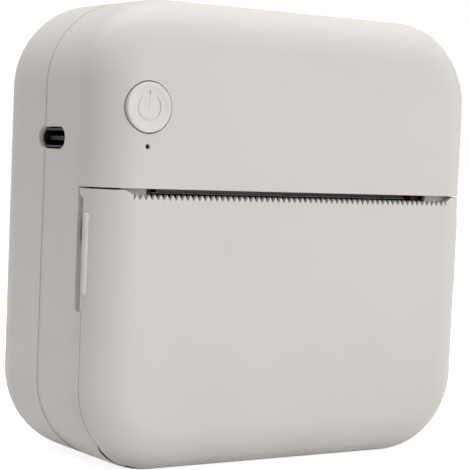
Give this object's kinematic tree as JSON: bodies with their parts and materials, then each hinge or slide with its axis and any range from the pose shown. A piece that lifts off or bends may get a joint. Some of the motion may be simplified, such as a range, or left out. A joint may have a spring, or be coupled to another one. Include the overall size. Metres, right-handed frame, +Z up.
{
  "type": "portable thermal printer",
  "caption": "Upright rounded box that prints on a paper roll behind a hinged front door and tears the strip at a toothed slot.",
  "frame": {"origin": "middle of the flat underside that the printer stands on", "axes": "+X to the printer's right as seen from its front, -Y out of the front face with the slot, +Z up"},
  "size_m": [0.084, 0.041, 0.083],
  "materials": {
    "case_plastic": "fine satin grain",
    "button_plastic": "satin",
    "frame_plastic": "moulded, plain",
    "gear_plastic": "moulded acetal",
    "roller_rubber": "ground",
    "steel": "turned",
    "screw_steel": "black zinc",
    "aluminium": "milled",
    "ceramic": "glazed",
    "paper": "smooth paper",
    "card": "rolled card",
    "board": "solder mask",
    "black_plastic": "moulded",
    "foil": "pouch foil",
    "foam": "foam tape",
    "wire": "insulation",
    "clear": "clear acrylic",
    "led": "clear resin"
  },
  "bodies": {
    "case": {"front_shell": "case_plastic", "rear_shell": "case_plastic", "door_hinge_pins": "steel", "chassis": "frame_plastic", "paper_strip": "paper", "head_pivot_pins": "steel", "head_springs": "steel", "drive_motor": "steel", "gear_axles": "steel", "gear_cover": "steel", "motor_screws": "screw_steel", "cover_screws": "screw_steel", "frame_screws": "screw_steel", "board_screws": "screw_steel", "key_screws": "screw_steel", "case_screws": "screw_steel", "main_board": "board", "board_chips": "black_plastic", "key_board": "board", "tact_switch": "black_plastic", "status_led": "led", "light_pipe": "clear", "usb_shell": "steel", "usb_tongue": "black_plastic", "battery_pack": "foil", "battery_tape": "foam", "battery_plug": "gear_plastic", "battery_lead": "wire", "paper_sensor": "black_plastic"},
    "door": {"paper_door": "case_plastic", "platen_bushings": "black_plastic"},
    "platen": {"platen_shaft": "steel", "platen_roller": "roller_rubber", "platen_gear": "gear_plastic"},
    "roll": {"paper_roll": "paper", "paper_core": "card"},
    "head": {"print_head": "ceramic", "heat_sink": "aluminium"},
    "first_wheel": {"first_gear": "gear_plastic"},
    "second_wheel": {"second_gear": "gear_plastic"},
    "rotor": {"motor_pinion": "gear_plastic", "motor_shaft": "steel"},
    "button": {"power_button": "button_plastic"},
    "plunger": {"switch_plunger": "black_plastic"}
  },
  "joints": [
    {"name": "door_hinge", "type": "hinge", "parent": "case", "child": "door", "pos_m": [0, -0.0154, 0.0051], "axis": [1, 0, 0], "range_deg": [0, 85]},
    {"name": "platen_spin", "type": "hinge", "parent": "door", "child": "platen", "pos_m": [0, -0.0132, 0.045], "axis": [1, 0, 0], "continuous": true},
    {"name": "roll_spin", "type": "hinge", "parent": "case", "child": "roll", "pos_m": [0, -0.0018, 0.0183], "axis": [1, 0, 0], "continuous": true},
    {"name": "head_tilt", "type": "hinge", "parent": "case", "child": "head", "pos_m": [0, -0.0005, 0.05122], "axis": [-1, 0, 0], "range_deg": [0, 3], "stiffness_Nm_per_rad": 0.15, "springref_deg": -3.44, "deforming": ["head_springs"]},
    {"name": "first_gear_spin", "type": "hinge", "parent": "case", "child": "first_wheel", "pos_m": [0, 0.00108, 0.04134], "axis": [1, 0, 0], "continuous": true},
    {"name": "second_gear_spin", "type": "hinge", "parent": "case", "child": "second_wheel", "pos_m": [0, -0.00719, 0.04281], "axis": [1, 0, 0], "continuous": true},
    {"name": "motor_spin", "type": "hinge", "parent": "case", "child": "rotor", "pos_m": [0, 0.0092, 0.0435], "axis": [1, 0, 0], "continuous": true},
    {"name": "button_press", "type": "slide", "parent": "case", "child": "button", "axis": [0, 1, 0], "range_m": [0, 0.00035], "stiffness_N_per_m": 400, "springref_m": -0.00015},
    {"name": "plunger_press", "type": "slide", "parent": "case", "child": "plunger", "axis": [0, 1, 0], "range_m": [0, 0.00035]}
  ],
  "couplings": [
    {"joint": "platen_spin", "follows": "roll_spin", "ratio": 3.625},
    {"joint": "second_gear_spin", "follows": "roll_spin", "ratio": -6.0417},
    {"joint": "first_gear_spin", "follows": "roll_spin", "ratio": 15.104},
    {"joint": "motor_spin", "follows": "roll_spin", "ratio": -48.333},
    {"joint": "plunger_press", "follows": "button_press", "ratio": 1}
  ]
}
